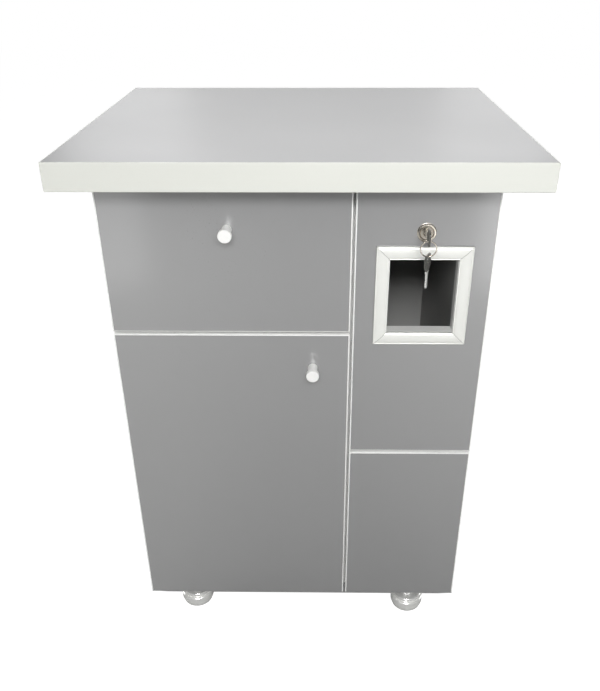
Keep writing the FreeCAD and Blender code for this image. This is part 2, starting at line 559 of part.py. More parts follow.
slot_00, slot_01 = (SLOT_X0, SLOT_Z0), (SLOT_X0, SLOT_Z1)
slot_10, slot_11 = (SLOT_X1, SLOT_Z0), (SLOT_X1, SLOT_Z1)
frame_00, frame_01 = (FRAME_X0, FRAME_Z0), (FRAME_X0, FRAME_Z1)
frame_10, frame_11 = (FRAME_X1, FRAME_Z0), (FRAME_X1, FRAME_Z1)
save("slot_frame", [
    frame_rail(SLOT_Z1, 1).common(mitre(slot_01, slot_11, frame_11, frame_01)),
    frame_rail(SLOT_Z0, -1).common(mitre(slot_00, frame_00, frame_10, slot_10)),
    frame_stile(SLOT_X0, -1).common(mitre(slot_00, slot_01, frame_01, frame_00)),
    frame_stile(SLOT_X1, 1).common(mitre(slot_10, frame_10, frame_11, slot_11))])

# ---------------------------------------------------------------------------
# Cam lock
# ---------------------------------------------------------------------------
LOCK_FACE = Vector(LOCK_X, FACE_Y, LOCK_Z)
# radius, distance behind the front face (negative = proud)
HOUSING = [(9.55, -3.0), (10.6, -3.2), (12.3, -3.0), (13.3, -2.0), (13.6, 0),
           (BARREL_RADIUS, 0), (BARREL_RADIUS, 24.5), (8.55, 24.5), (8.55, 3.0), (9.55, 3.0)]
PLUG_END = 28.4
PLUG = [(0, -2.2), (3.0, -2.2), (3.6, -1.7), (5.4, -1.7), (6.0, -2.4), (8.8, -2.4), (9.5, -1.7),
        (9.5, 2.9), (8.5, 2.9), (8.5, 24.6), (5.0, 24.6), (5.0, PLUG_END), (0, PLUG_END)]
CAM_Y, CAM_THICK, CAM_REACH = FACE_Y + 26.2, 2.0, 33.0


def lock_cam():
    """Flat cam pointing left, with a rounded end."""
    tip_x = LOCK_X - CAM_REACH
    cam = cyl(LOCK_X, CAM_Y, LOCK_Z, 8.5, CAM_THICK, REARWARD).fuse(
        box(tip_x, LOCK_X, CAM_Y, CAM_Y + CAM_THICK, LOCK_Z - 7, LOCK_Z + 7)).fuse(
        cyl(tip_x, CAM_Y, LOCK_Z, 7.0, CAM_THICK, REARWARD)).removeSplitter()
    return cam.cut(cyl(LOCK_X, CAM_Y - 1, LOCK_Z, 5.0, 5, REARWARD))


lock_nut = hexagon(LOCK_X, FRONT_REAR_Y, LOCK_Z, 27, 4.0, REARWARD)
barrel = cyl(LOCK_X, FRONT_REAR_Y - 1, LOCK_Z, BARREL_RADIUS, 8, REARWARD)
cam_screw = pan_screw(LOCK_X, FACE_Y + PLUG_END, LOCK_Z, FORWARD, 12.0,
                      radius=2.0, head_radius=5.6, head_height=2.4)
key_slot = box(LOCK_X - 1.0, LOCK_X + 1.0, FACE_Y - 3, FACE_Y + 17.5, LOCK_Z - 3.1, LOCK_Z + 3.1)
save("lock_housing", revolve(HOUSING, LOCK_FACE, REARWARD))
save("lock_nut", lock_nut.cut(barrel))
save("lock_plug", revolve(PLUG, LOCK_FACE, REARWARD).cut([key_slot, cam_screw]))
save("lock_cam", lock_cam())
save("cam_screw", cam_screw)

# ---------------------------------------------------------------------------
# Keys and ring
# ---------------------------------------------------------------------------
KEY_THICK, BOW_LENGTH, BLADE_LENGTH = 2.2, 24.0, 22.6
HOLE_RADIUS, HOLE_MARGIN = 4.5, 2.5           # HOLE_MARGIN: hole edge to end of bow
SHOULDER_X = BOW_LENGTH + 3.4                 # blade starts here
# x, z of the bow and shoulder's lower half; the upper half mirrors it
KEY_HALF = [(0.0, -5.6), (0.9, -8.0), (3.4, -9.6), (9.2, -10.78), (14.4, -11.0), (18.8, -9.8),
            (21.7, -7.0), (23.2, -4.9), (BOW_LENGTH, -4.6), (SHOULDER_X, -4.6),
            (SHOULDER_X, -3.0)]
TOOTH_DEPTHS = (1.2, 0.4, 1.6, 0.8, 1.3)
# x, z of the shallow sunk panel between hole and shoulder
SUNK_PANEL = [(12.9, -5.0), (17.2, -7.6), (20.6, -4.4), (20.6, 4.4), (17.2, 7.6), (12.9, 5.0)]


def flat_key():
    """Key with its bow from x = 0 and blade toward +x; width along z, thickness along y."""
    end = SHOULDER_X + BLADE_LENGTH
    step = (BLADE_LENGTH - 3.5) / len(TOOTH_DEPTHS)
    x = SHOULDER_X + 1.0
    teeth = []
    for depth in TOOTH_DEPTHS:
        teeth += [(x, -3.0), (x + step * 0.35, -3.0 + depth), (x + step * 0.65, -3.0 + depth)]
        x += step
    tip = [(x, -3.0), (end - 1.8, -3.0), (end, -1.2), (end, 1.0), (end - 2.0, 3.0)]
    upper = [(px, -pz) for px, pz in reversed(KEY_HALF)]
    outline = KEY_HALF + teeth + tip + upper
    plate = polygon([Vector(px, -KEY_THICK / 2, pz) for px, pz in outline])
    plate = plate.extrude(REARWARD * KEY_THICK)
    # both faces of the blade thinned, with a groove along one
    thin = [box(SHOULDER_X - 1.8, end + 1, 0.95, 2.0, -5, 5),
            box(SHOULDER_X - 1.8, end + 1, -2.0, -0.95, -5, 5),
            box(SHOULDER_X + 1.1, end + 1, 0.45, 1.0, -0.6, 0.8)]
    sunk = [polygon([Vector(px, side * 0.75, pz) for px, pz in SUNK_PANEL]).extrude(
        REARWARD * side) for side in (-1, 1)]
    hole = cyl(HOLE_MARGIN + HOLE_RADIUS, -5, 0, HOLE_RADIUS, 10, REARWARD)
    return plate.cut(thin + sunk + [hole])


# key in the lock: bow toward the viewer, width vertical, thickness along X
BOW_Y = FACE_Y - 34.0
lock_key = flat_key()
lock_key.Placement = FreeCAD.Placement(Vector(LOCK_X, BOW_Y, LOCK_Z), FreeCAD.Rotation(UP, 90))
save("lock_key", lock_key)

# ring through the bow's hole, hanging round the rim below it
WIRE_RADIUS, RING_RADIUS = 0.9, 10.9
HOLE_Y = BOW_Y + HOLE_MARGIN + HOLE_RADIUS
RIM_TOP, RIM_BOTTOM = LOCK_Z - HOLE_RADIUS, LOCK_Z - 10.35
RIM_HALF_DIAGONAL = math.hypot((RIM_TOP - RIM_BOTTOM) / 2, KEY_THICK / 2)
RING_Z = (RIM_TOP + RIM_BOTTOM) / 2 + RIM_HALF_DIAGONAL + 0.35 + WIRE_RADIUS - RING_RADIUS
save("key_ring", Part.makeTorus(RING_RADIUS, WIRE_RADIUS, Vector(LOCK_X, HOLE_Y, RING_Z),
                                REARWARD))

# spare key hangs blade down from the bottom of the ring, turned out of the edge-on plane
SPARE_Z = RING_Z - RING_RADIUS + WIRE_RADIUS + 0.55 + HOLE_MARGIN
spare_key = flat_key()
spare_key.Placement = FreeCAD.Placement(
    Vector(LOCK_X, HOLE_Y, SPARE_Z),
    FreeCAD.Rotation(UP, 63).multiply(FreeCAD.Rotation(REARWARD, 90)))
save("spare_key", spare_key)
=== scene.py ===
# A small grey laminate cabinet with a drawer, a pull-out, a hinged door and a framed opening.
# It stands on four feet on z = 0, with its fronts facing -y, x to the right and z up. Metres.
import json
import math

import bmesh
import bpy
from mathutils import Matrix, Vector


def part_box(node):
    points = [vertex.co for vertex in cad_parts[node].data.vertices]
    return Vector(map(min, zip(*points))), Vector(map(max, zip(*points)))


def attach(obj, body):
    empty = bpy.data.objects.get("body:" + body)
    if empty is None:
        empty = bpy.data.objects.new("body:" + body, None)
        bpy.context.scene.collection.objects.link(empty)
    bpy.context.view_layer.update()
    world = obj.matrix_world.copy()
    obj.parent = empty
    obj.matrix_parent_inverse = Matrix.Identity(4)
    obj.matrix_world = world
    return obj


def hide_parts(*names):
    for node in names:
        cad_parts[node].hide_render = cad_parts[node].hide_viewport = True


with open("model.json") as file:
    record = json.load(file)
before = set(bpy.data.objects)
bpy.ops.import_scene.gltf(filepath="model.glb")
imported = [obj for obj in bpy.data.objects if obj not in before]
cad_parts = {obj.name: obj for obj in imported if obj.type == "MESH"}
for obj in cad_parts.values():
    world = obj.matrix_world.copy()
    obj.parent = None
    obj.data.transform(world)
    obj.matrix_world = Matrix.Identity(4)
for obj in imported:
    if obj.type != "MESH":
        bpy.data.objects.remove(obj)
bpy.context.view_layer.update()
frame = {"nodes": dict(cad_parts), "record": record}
NODES = frame["nodes"]
BODY_OF = {node: body for body, members in frame["record"]["behaviour"]["bodies"].items()
           for node in members}
MM = 0.001


def centre_xz(node):
    low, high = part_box(node)
    middle = (low + high) / 2
    return middle.x, middle.z


# Box of the frame round the opening, as middle and half size along x, y, z
SLOT_LOW, SLOT_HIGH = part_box("slot_frame")
SLOT_MIDDLE = [(low + high) / 2 for low, high in zip(SLOT_LOW, SLOT_HIGH)]
SLOT_HALF = [(high - low) / 2 for low, high in zip(SLOT_LOW, SLOT_HIGH)]

# ---------------------------------------------------------------------------
# Shader helpers
# ---------------------------------------------------------------------------

MATERIALS = {}


class Graph:
    """A node tree, emptied, whose patterns read one kind of texture coordinate."""

    def __init__(self, tree, output, coordinates):
        self.tree = tree
        tree.nodes.clear()
        self.output = self.node(output)
        self.coordinates = self.node("TexCoord").outputs[coordinates]

    def node(self, kind, inputs=None, **properties):
        """New node; inputs maps a socket's name or index to a value or to the socket feeding it."""
        node = self.tree.nodes.new("ShaderNode" + kind)
        for key, value in properties.items():
            setattr(node, key, value)
        for key, value in (inputs or {}).items():
            self.put(node.inputs[key], value)
        return node

    def put(self, socket, value):
        if isinstance(value, bpy.types.NodeSocket):
            self.tree.links.new(value, socket)
        elif socket.type == "RGBA":
            socket.default_value = (*value, 1.0)
        else:
            socket.default_value = value

    def math(self, operation, first, second=0.0, third=0.0):
        return self.node("Math", {0: first, 1: second, 2: third}, operation=operation).outputs[0]

    def add(self, first, second):
        return self.math("ADD", first, second)

    def subtract(self, first, second):
        return self.math("SUBTRACT", first, second)

    def multiply(self, first, second):
        return self.math("MULTIPLY", first, second)

    def absolute(self, value):
        return self.math("ABSOLUTE", value)

    def above(self, value, limit):
        return self.math("GREATER_THAN", value, limit)

    def below(self, value, limit):
        return self.math("LESS_THAN", value, limit)

    def within(self, value, low, high):
        return self.multiply(self.above(value, low), self.below(value, high))

    def remap(self, value, to, between=(0.3, 0.7)):
        """Clamped linear map; the default source range is the usual spread of a noise."""
        return self.node("MapRange", {"Value": value, "From Min": between[0],
                                      "From Max": between[1], "To Min": to[0],
                                      "To Max": to[1]}).outputs[0]

    def split(self, vector):
        return self.node("SeparateXYZ", {0: vector}).outputs

    def for_camera(self, others, camera):
        """Sends the camera shader to camera rays and the other shader to the rest."""
        is_camera = self.node("LightPath").outputs["Is Camera Ray"]
        mixed = self.node("MixShader", {0: is_camera, 1: others, 2: camera}).outputs[0]
        self.put(self.output.inputs[0], mixed)


class Mat(Graph):
    """A material. Object coordinates are metres, so patterns keep their real scale."""

    def __init__(self, name):
        material = bpy.data.materials.new(name)
        material.use_nodes = True
        MATERIALS[name] = material
        super().__init__(material.node_tree, "OutputMaterial", "Object")
        self.principled = self.node("BsdfPrincipled")
        self.put(self.output.inputs[0], self.principled.outputs[0])

    def noise(self, scale=1.0, detail=2.0, rough=0.5, distort=0.0, stretch=None, turn=(0, 0, 0)):
        """Noise; stretch multiplies the coordinates per axis and turn rotates them."""
        vector = self.coordinates
        if stretch:
            vector = self.node("Mapping", {"Scale": stretch, "Rotation": turn,
                                           "Vector": vector}).outputs[0]
        return self.node("TexNoise", {"Scale": scale, "Detail": detail, "Roughness": rough,
                                      "Distortion": distort, "Vector": vector}).outputs[0]

    def mix(self, factor, first, second):
        # Sockets 6 and 7 are the two colours of a colour mix
        return self.node("Mix", {0: factor, 6: first, 7: second}, data_type="RGBA").outputs[2]

    def scale_colour(self, colour, factor):
        return self.node("VectorMath", {0: colour, "Scale": factor}, operation="SCALE").outputs[0]

    def vary(self, colour, *parts):
        """Colour times 1 + sum of amplitude * (signal - 0.5); a part is (signal, amplitude)."""
        total = None
        for signal, amplitude in parts:
            change = self.math("MULTIPLY_ADD", signal, amplitude, -0.5 * amplitude)
            total = change if total is None else self.add(total, change)
        return self.scale_colour(colour, self.add(total, 1.0))

    def bump(self, height, distance, strength):
        return self.node("Bump", {"Strength": strength, "Distance": distance,
                                  "Height": height}).outputs[0]

    def finish(self, **values):
        names = {"colour": "Base Color", "rough": "Roughness", "metal": "Metallic",
                 "spec": "Specular IOR Level", "normal": "Normal", "coat": "Coat Weight",
                 "coat_rough": "Coat Roughness", "coat_ior": "Coat IOR"}
        for key, value in values.items():
            self.put(self.principled.inputs[names[key]], value)


# ---------------------------------------------------------------------------
# Materials
# ---------------------------------------------------------------------------

def laminate(name, base, spec=0.5, rough=0.30, metal=0.30, coat=0.0, coat_ior=1.5,
             coat_rough=0.12):
    """Satin laminate: pigment with metal flake, fine pearl and faint clouding."""
    mat = Mat(name)
    pearl = mat.noise(scale=2200, rough=0.6)
    grain = mat.noise(scale=520, detail=3.0, rough=0.55)
    cloud = mat.noise(scale=7.0, detail=3.0)
    wipe = mat.noise(scale=3.2, stretch=(1.0, 1.0, 0.35))
    height = mat.add(pearl, mat.multiply(grain, 0.8))
    mat.finish(colour=mat.vary(base, (pearl, 0.05), (grain, 0.03), (cloud, 0.035)),
               rough=mat.add(mat.remap(grain, to=(rough - 0.02, rough + 0.02)),
                             mat.remap(wipe, to=(-0.015, 0.02))),
               spec=spec, metal=metal, coat=coat, coat_ior=coat_ior,
               coat_rough=mat.remap(wipe, to=(coat_rough - 0.01, coat_rough + 0.02)),
               normal=mat.bump(height, distance=0.000004, strength=0.12))


def edge_band(name, base, rough=0.36, spec=0.5, tint=None):
    """Plastic edge band with fine level lines; tint(mat, base) may recolour parts of it."""
    mat = Mat(name)
    speckle = mat.noise(scale=900)
    lines = mat.noise(stretch=(14, 14, 1600))
    cloud = mat.noise(scale=9.0, detail=3.0)
    if tint:
        base = tint(mat, base)
    height = mat.add(mat.multiply(lines, 0.6), speckle)
    mat.finish(colour=mat.vary(base, (speckle, 0.03), (lines, 0.02), (cloud, 0.02)),
               rough=mat.remap(mat.noise(scale=60, detail=3.0), to=(rough - 0.04, rough + 0.04)),
               spec=spec, normal=mat.bump(height, distance=0.000010, strength=0.5))


# Painted shade: the lower band strips of two fronts, over the gaps beneath them, are a shade
# duller: x from, x to, z from, z to
SHADED_BAND_STRIPS = ((-0.280, 0.0722, 0.5965, 0.5993), (0.0752, 0.272, 0.3815, 0.3843))
SHADED_BAND_WHITE = (0.74, 0.74, 0.74 * 0.98)
FRONTS_Y = -0.2065        # the fronts' bands lie forward of this
GREY_STRIP_TOP = 0.0622   # below this height the band is grey
GREY_STRIP = (0.30, 0.30, 0.30)


def front_tint(mat, base):
    x, y, z = mat.split(mat.coordinates)
    for x_from, x_to, z_from, z_to in SHADED_BAND_STRIPS:
        level = mat.within(z, z_from, z_to)
        across = mat.within(x, x_from, x_to)
        shaded_strip = mat.multiply(mat.below(y, FRONTS_Y), mat.multiply(level, across))
        # Painted shade: each front's lower band strip is mixed to a duller white
        base = mat.mix(shaded_strip, base, SHADED_BAND_WHITE)
    return mat.mix(mat.below(z, GREY_STRIP_TOP), base, GREY_STRIP)


def hardboard():
    """Painted hardboard with a low orange-peel skin."""
    mat = Mat("back_sheet")
    peel = mat.noise(scale=420, detail=3.0, rough=0.6)
    cloud = mat.noise(scale=12, detail=3.0)
    mat.finish(colour=mat.vary((0.40, 0.405, 0.41), (peel, 0.05), (cloud, 0.06)),
               rough=mat.remap(peel, to=(0.45, 0.58)), spec=0.4,
               normal=mat.bump(peel, distance=0.00006, strength=0.6))


def wood():
    """Raw beech: long grain streaks and short dark flecks, both along z."""
    mat = Mat("raw_wood")
    streak = mat.noise(detail=4.0, rough=0.6, distort=0.8, stretch=(60, 60, 6))
    fleck = mat.remap(mat.noise(stretch=(900, 900, 130)), between=(0.6, 0.72), to=(0.0, 1.0))
    colour = mat.mix(mat.remap(streak, to=(0.0, 1.0)), (0.60, 0.43, 0.26), (0.47, 0.31, 0.17))
    colour = mat.scale_colour(colour, mat.subtract(1.0, mat.multiply(fleck, 0.18)))
    mat.finish(colour=colour, rough=mat.remap(streak, to=(0.55, 0.72)), spec=0.35,
               normal=mat.bump(mat.add(streak, fleck), distance=0.0001, strength=0.5))


def zinc():
    """Zinc-plated steel with a faint spangle and rolling lines along y."""
    mat = Mat("zinc_steel")
    spangle = mat.node("TexVoronoi", {"Scale": 190, "Vector": mat.coordinates}).outputs["Distance"]
    roll = mat.noise(detail=3.0, rough=0.6, stretch=(900, 12, 900))
    mat.finish(colour=mat.vary((0.62, 0.64, 0.66), (spangle, 0.10), (roll, 0.10)),
               rough=mat.remap(spangle, between=(0.0, 0.8), to=(0.26, 0.42)), metal=0.95,
               normal=mat.bump(roll, distance=0.00002, strength=0.4))


def plated(name, base, rough, smear, scratch, metal, wave):
    """Bright plating; smear spreads its roughness, scratch darkens it, wave is its bump."""
    mat = Mat(name)
    smears = mat.noise(scale=90, detail=4.0, rough=0.6, distort=0.6)
    scratches = mat.noise(stretch=(700, 90, 3000), turn=(0.3, 0.5, 0.2))
    scratches = mat.remap(scratches, between=(0.55, 0.75), to=(0.0, 1.0))
    height = mat.add(mat.noise(scale=240), mat.multiply(scratches, -0.4))
    mat.finish(colour=mat.vary(base, (smears, 0.08), (scratches, -scratch)),
               rough=mat.add(mat.remap(smears, to=(rough - smear * 0.5, rough + smear)),
                             mat.multiply(scratches, 0.06)),
               metal=metal, normal=mat.bump(height, distance=0.000020, strength=wave))


# Where the keys are bright: low on the hanging key, or behind a plane high up in the lock
KEY_BRIGHT_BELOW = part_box("spare_key")[1].z - 0.0245
KEY_BRIGHT_BEHIND_Y = -0.2345
KEY_BRIGHT_ABOVE = 0.735
KEY_BOW = (0.115, 0.115, 0.105)
KEY_BLADE = (0.92, 0.92, 0.89)


def key_finish():
    """Keys with a dark bow and a bright blade."""
    mat = Mat("key_metal")
    x, y, z = mat.split(mat.coordinates)
    hanging = mat.below(z, KEY_BRIGHT_BELOW)
    in_lock = mat.multiply(mat.above(y, KEY_BRIGHT_BEHIND_Y), mat.above(z, KEY_BRIGHT_ABOVE))
    bright = mat.math("MINIMUM", mat.add(hanging, in_lock), 1.0)
    smears = mat.noise(scale=260, detail=4.0, rough=0.6, distort=0.6)
    mottle = mat.remap(mat.noise(scale=520, detail=3.0, rough=0.6),
                        between=(0.35, 0.65), to=(0.55, 1.55))
    fine = mat.noise(stretch=(900, 900, 5000))
    colour = mat.mix(bright, mat.scale_colour(KEY_BOW, mottle), KEY_BLADE)
    mat.finish(colour=mat.vary(colour, (smears, 0.10), (fine, 0.08)),
               rough=mat.add(mat.remap(smears, to=(0.24, 0.36)), mat.multiply(fine, 0.04)),
               metal=mat.remap(bright, between=(0.0, 1.0), to=(0.35, 0.45)),
               normal=mat.bump(mat.add(mottle, fine), distance=0.00003, strength=0.4))


def aluminium(rough=0.36):
    """Satin aluminium whose brush lines follow each length of the mitred slot frame."""
    mat = Mat("satin_aluminium")
    along_x = mat.noise(detail=3.0, rough=0.6, stretch=(26, 5200, 5200))
    along_z = mat.noise(detail=3.0, rough=0.6, stretch=(5200, 5200, 26))
    x, y, z = mat.split(mat.coordinates)
    beyond_x, beyond_z = (
        mat.subtract(mat.absolute(mat.subtract(place, SLOT_MIDDLE[axis])), SLOT_HALF[axis])
        for place, axis in ((x, 0), (z, 2)))
    rail = mat.above(beyond_z, beyond_x)
    lines = mat.add(mat.multiply(along_x, rail),
                    mat.multiply(along_z, mat.subtract(1.0, rail)))
    # Dark hairline on the mitre diagonals
    joint = mat.remap(mat.absolute(mat.subtract(beyond_z, beyond_x)),
                      between=(0.0002, 0.0006), to=(0.45, 1.0))
    cloud = mat.noise(scale=30, detail=3.0)
    colour = mat.vary((0.93, 0.935, 0.895), (lines, 0.06), (cloud, 0.03))
    colour = mat.scale_colour(colour, joint)
    # Painted shade: faces turned away from the y axis are darker, dimming the highlight on the
    # beads' sides
    normal = mat.split(mat.node("NewGeometry").outputs["Normal"])
    side = mat.remap(mat.absolute(normal[1]), between=(0.20, 0.62), to=(0.34, 1.0))
    mat.finish(colour=mat.scale_colour(colour, side),
               rough=mat.add(mat.remap(lines, to=(rough - 0.05, rough + 0.06)),
                             mat.remap(cloud, to=(-0.02, 0.02))),
               metal=0.22, normal=mat.bump(lines, distance=0.000015, strength=0.35))


def turned(name, base, centres, rough, metal, ring_pitch, contrast):
    """Turned metal with lathe rings about axes along y at the given (x, z) centres."""
    mat = Mat(name)
    x, y, z = mat.split(mat.coordinates)
    nearest = None
    for centre_x, centre_z in centres:
        across, up = mat.subtract(x, centre_x), mat.subtract(z, centre_z)
        radius = mat.math("SQRT", mat.add(mat.multiply(across, across), mat.multiply(up, up)))
        nearest = radius if nearest is None else mat.math("MINIMUM", nearest, radius)
    wave = mat.math("SINE", mat.multiply(nearest, 2 * math.pi / ring_pitch))
    wobble = mat.noise(scale=700)
    rings = mat.math("MULTIPLY_ADD", mat.multiply(wave, wobble), 0.5, 0.5)
    haze = mat.noise(scale=260, detail=3.0, rough=0.6)
    mat.finish(colour=mat.vary(base, (rings, contrast), (haze, contrast)),
               rough=mat.add(mat.remap(haze, to=(rough - 0.05, rough + 0.05)),
                             mat.remap(rings, between=(0.2, 0.8), to=(-0.02, 0.03))),
               metal=metal, normal=mat.bump(rings, distance=0.000012, strength=0.4))


def rubber():
    mat = Mat("buffer_rubber")
    grain = mat.noise(scale=1400, detail=3.0)
    mat.finish(colour=mat.vary((0.70, 0.70, 0.66), (grain, 0.2)),
               rough=mat.remap(grain, to=(0.5, 0.7)), spec=0.4,
               normal=mat.bump(grain, distance=0.00003, strength=0.6))


GREY = (0.355, 0.356, 0.360)
laminate("grey_laminate", GREY, coat=1.0, coat_ior=2.5, coat_rough=0.13)
laminate("inner_laminate", (0.42, 0.42, 0.41), spec=0.3, rough=0.50, metal=0.05)
laminate("worktop_laminate", GREY, rough=0.36)
edge_band("pale_edge_band", (0.74, 0.75, 0.70))
edge_band("front_band", (0.985, 0.99, 0.975), rough=0.30, spec=0.6, tint=front_tint)
edge_band("grey_edge_band", (0.84, 0.845, 0.82), rough=0.40)
hardboard()
wood()
zinc()
plated("nickel_plate", (0.78, 0.72, 0.64), rough=0.16, smear=0.05, scratch=0.06, metal=1.0,
       wave=0.25)
key_finish()
aluminium()
turned("knob_metal", (0.99, 0.99, 0.97), [centre_xz("drawer_knob"), centre_xz("door_knob")],
       rough=0.46, metal=0.08, ring_pitch=0.9 * MM, contrast=0.05)
turned("lock_metal", (0.86, 0.80, 0.71), [centre_xz("lock_housing")],
       rough=0.15, metal=1.0, ring_pitch=0.4 * MM, contrast=0.14)
plated("foot_chrome", (0.97, 0.97, 0.95), rough=0.20, smear=0.03, scratch=0.03, metal=0.35,
       wave=0.03)
rubber()

# Material, and the CAD nodes that wear it
WEARERS = {
    "worktop_laminate": "worktop_board",
    "grey_laminate": "left_side right_side partition bottom_panel drawer_divider "
                     "lower_right_rail top_stretchers lower_front_panel drawer_front "
                     "pullout_front door_panel",
    "inner_laminate": "drawer_sides drawer_box_ends pullout_sides pullout_box_front "
                      "pullout_back pullout_bottom",
    "pale_edge_band": "worktop_edge_band",
    "front_band": "fixed_edge_bands drawer_front_band pullout_front_band door_band",
    "grey_edge_band": "slot_edge_band",
    "back_sheet": "back_panel drawer_bottom",
    "raw_wood": "carcass_dowels panel_cleats",
    "zinc_steel": "fixing_screws_16 fixing_screws_35 drawer_screws pullout_screws door_screws "
                  "cam_screw drawer_slide_outers drawer_slide_mids drawer_slide_inners "
                  "pullout_slide_outers pullout_slide_mids pullout_slide_inners hinge_pins "
                  "lock_strike foot_sockets",
    "nickel_plate": "hinge_arms hinge_cups lock_nut lock_cam key_ring",
    "lock_metal": "lock_housing lock_plug",
    "key_metal": "lock_key spare_key",
    "satin_aluminium": "slot_frame",
    "knob_metal": "drawer_knob door_knob",
    "foot_chrome": "foot_front_left foot_front_right foot_rear_left foot_rear_right",
    "buffer_rubber": "door_buffers",
}
SLOT_OF = {node: slot for slot, wearers in WEARERS.items() for node in wearers.split()}

for node_name, node_object in NODES.items():
    node_object.data.materials.clear()
    node_object.data.materials.append(MATERIALS[SLOT_OF[node_name]])

# ---------------------------------------------------------------------------
# Softened edges
# ---------------------------------------------------------------------------

def soften(node, width, angle=35.0):
    modifiers = NODES[node].modifiers
    weld = modifiers.new("join", "WELD")
    weld.merge_threshold = 0.000005
    bevel = modifiers.new("arris", "BEVEL")
    bevel.width = width
    bevel.segments = 2
    bevel.limit_method = "ANGLE"
    bevel.angle_limit = math.radians(angle)
    bevel.use_clamp_overlap = True
    shade = modifiers.new("shade", "WEIGHTED_NORMAL")
    shade.keep_sharp = False
    shade.weight = 60


for band in ("worktop_edge_band", "drawer_front_band", "pullout_front_band", "door_band",
             "fixed_edge_bands"):
    soften(band, width=0.35 * MM)
for key in ("lock_key", "spare_key"):
    soften(key, width=0.30 * MM, angle=30.0)
soften("lock_cam", width=0.3 * MM)

# ---------------------------------------------------------------------------
# Rebuilt pieces
# ---------------------------------------------------------------------------

def new_object(name, mesh_builder):
    """Object from a bmesh, which is freed."""
    mesh = bpy.data.meshes.new(name)
    mesh_builder.to_mesh(mesh)
    mesh_builder.free()
    made = bpy.data.objects.new(name, mesh)
    bpy.context.scene.collection.objects.link(made)
    return made


def lofted_piece(name, sections, node, smooth_angle):
    """Skin over closed sections, capped; it takes the CAD node's place, body and finish."""
    builder = bmesh.new()
    rows = [[builder.verts.new(point) for point in section] for section in sections]
    count = len(rows[0])
    for row, following in zip(rows, rows[1:]):
        for k in range(count):
            after = (k + 1) % count
            builder.faces.new((row[k], row[after], following[after], following[k]))
    builder.faces.new(rows[0])
    builder.faces.new(list(reversed(rows[-1])))
    bmesh.ops.recalc_face_normals(builder, faces=builder.faces)
    for face in builder.faces:
        face.smooth = True
    limit = math.radians(smooth_angle)
    for edge in builder.edges:
        edge.smooth = len(edge.link_faces) == 2 and edge.calc_face_angle(0.0) < limit
    piece = new_object(name, builder)
    piece.data.materials.append(MATERIALS[SLOT_OF[node]])
    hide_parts(node)
    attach(piece, BODY_OF[node])


# Crowned section of the frame round the opening, in mm: out from the opening, proud of the front
FRAME_PROFILE = [
    (0.4, 0), (0.4, 2.7), (0.52, 2.98), (0.75, 3.16), (1.0, 3.22), (1.3, 3.16), (1.6, 3.0),
    (1.8, 2.86), (2.0, 2.84), (2.4, 3.14), (3.2, 3.62), (4.2, 4.06), (5.2, 4.3), (6.4, 4.52),
    (7.6, 4.68), (8.8, 4.77), (10.0, 4.8), (11.2, 4.77), (12.4, 4.68), (13.6, 4.52),
    (14.8, 4.3), (15.8, 4.06), (16.8, 3.75), (17.7, 3.36), (18.1, 3.1), (18.3, 3.3),
    (18.6, 3.5), (18.95, 3.6), (19.3, 3.5), (19.62, 3.2), (19.85, 2.7), (20.0, 2.0), (20.0, 0)]
FRAME_WIDTH = FRAME_PROFILE[-1][0] * MM
# Broken arris at a mitred end, in mm: distance in from the end, drop of the surface
MITRE_ARRIS = ((0.0, 0.55), (0.25, 0.18), (0.5, 0.0))


def frame_length(name, axis, side):
    """One length along axis (0 is x, 2 is z), on the given side of the opening, cut at 45
    degrees with its ends' arrises broken, so each corner shows a fine open mitre line."""
    across = 2 - axis
    half_opening = [half - FRAME_WIDTH for half in SLOT_HALF]
    sections = []
    for end, arris in ((-1, MITRE_ARRIS), (1, MITRE_ARRIS[::-1])):
        for inset, drop in arris:
            section = []
            for out, proud in FRAME_PROFILE:
                point = [0.0, SLOT_HIGH.y - max(0.0, proud - drop) * MM, 0.0]
                reach = half_opening[axis] + out * MM - inset * MM
                point[axis] = SLOT_MIDDLE[axis] + end * reach
                point[across] = SLOT_MIDDLE[across] + side * (half_opening[across] + out * MM)
                section.append(point)
            sections.append(section)
    lofted_piece(name, sections, "slot_frame", smooth_angle=26.0)


frame_length("slot_frame_top", axis=0, side=1)
frame_length("slot_frame_bottom", axis=0, side=-1)
frame_length("slot_frame_left", axis=2, side=-1)
frame_length("slot_frame_right", axis=2, side=1)

RING_START = math.radians(118)
RING_JOG = math.radians(26)      # arc over which the wire crosses from one turn to the next
RING_END_GAP = math.radians(3)
RING_STEPS = 220
WIRE_SIDES = 12
WIRE_SQUARENESS = 0.55           # power on sine and cosine: below 1 squares the section
TURN_CLEARANCE = 0.03 * MM


def split_ring():
    """Key ring: flat wire wound twice about y, with one crossing and two tapered ends."""
    low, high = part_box("key_ring")
    middle = (low + high) / 2
    half_depth = (high.y - low.y) / 2
    mean_radius = (high.z - low.z) / 2 - half_depth
    half_thick = half_depth / 2 - TURN_CLEARANCE
    half_wide = half_depth * 0.92
    sweep = 4 * math.pi - RING_JOG - RING_END_GAP
    sections = []
    for i in range(RING_STEPS + 1):
        angle = RING_START + sweep * i / RING_STEPS
        crossing = (angle - RING_START - (2 * math.pi - RING_JOG)) / RING_JOG
        crossing = min(1.0, max(0.0, crossing))
        crossing = crossing * crossing * (3 - 2 * crossing)
        turn_y = (crossing * 2 - 1) * half_depth / 2
        taper = min(1.0, min(i, RING_STEPS - i) / 2.5 + 0.45)
        section = []
        for j in range(WIRE_SIDES):
            around = 2 * math.pi * j / WIRE_SIDES
            wide, thick = (math.copysign(abs(value) ** WIRE_SQUARENESS, value)
                           for value in (math.cos(around), math.sin(around)))
            radius = mean_radius + half_wide * taper * wide
            section.append((middle.x + radius * math.cos(angle),
                            middle.y + turn_y + half_thick * taper * thick,
                            middle.z + radius * math.sin(angle)))
        sections.append(section)
    lofted_piece("split_ring", sections, "key_ring", smooth_angle=60.0)


split_ring()

# ---------------------------------------------------------------------------
# Floor, light, camera
# ---------------------------------------------------------------------------

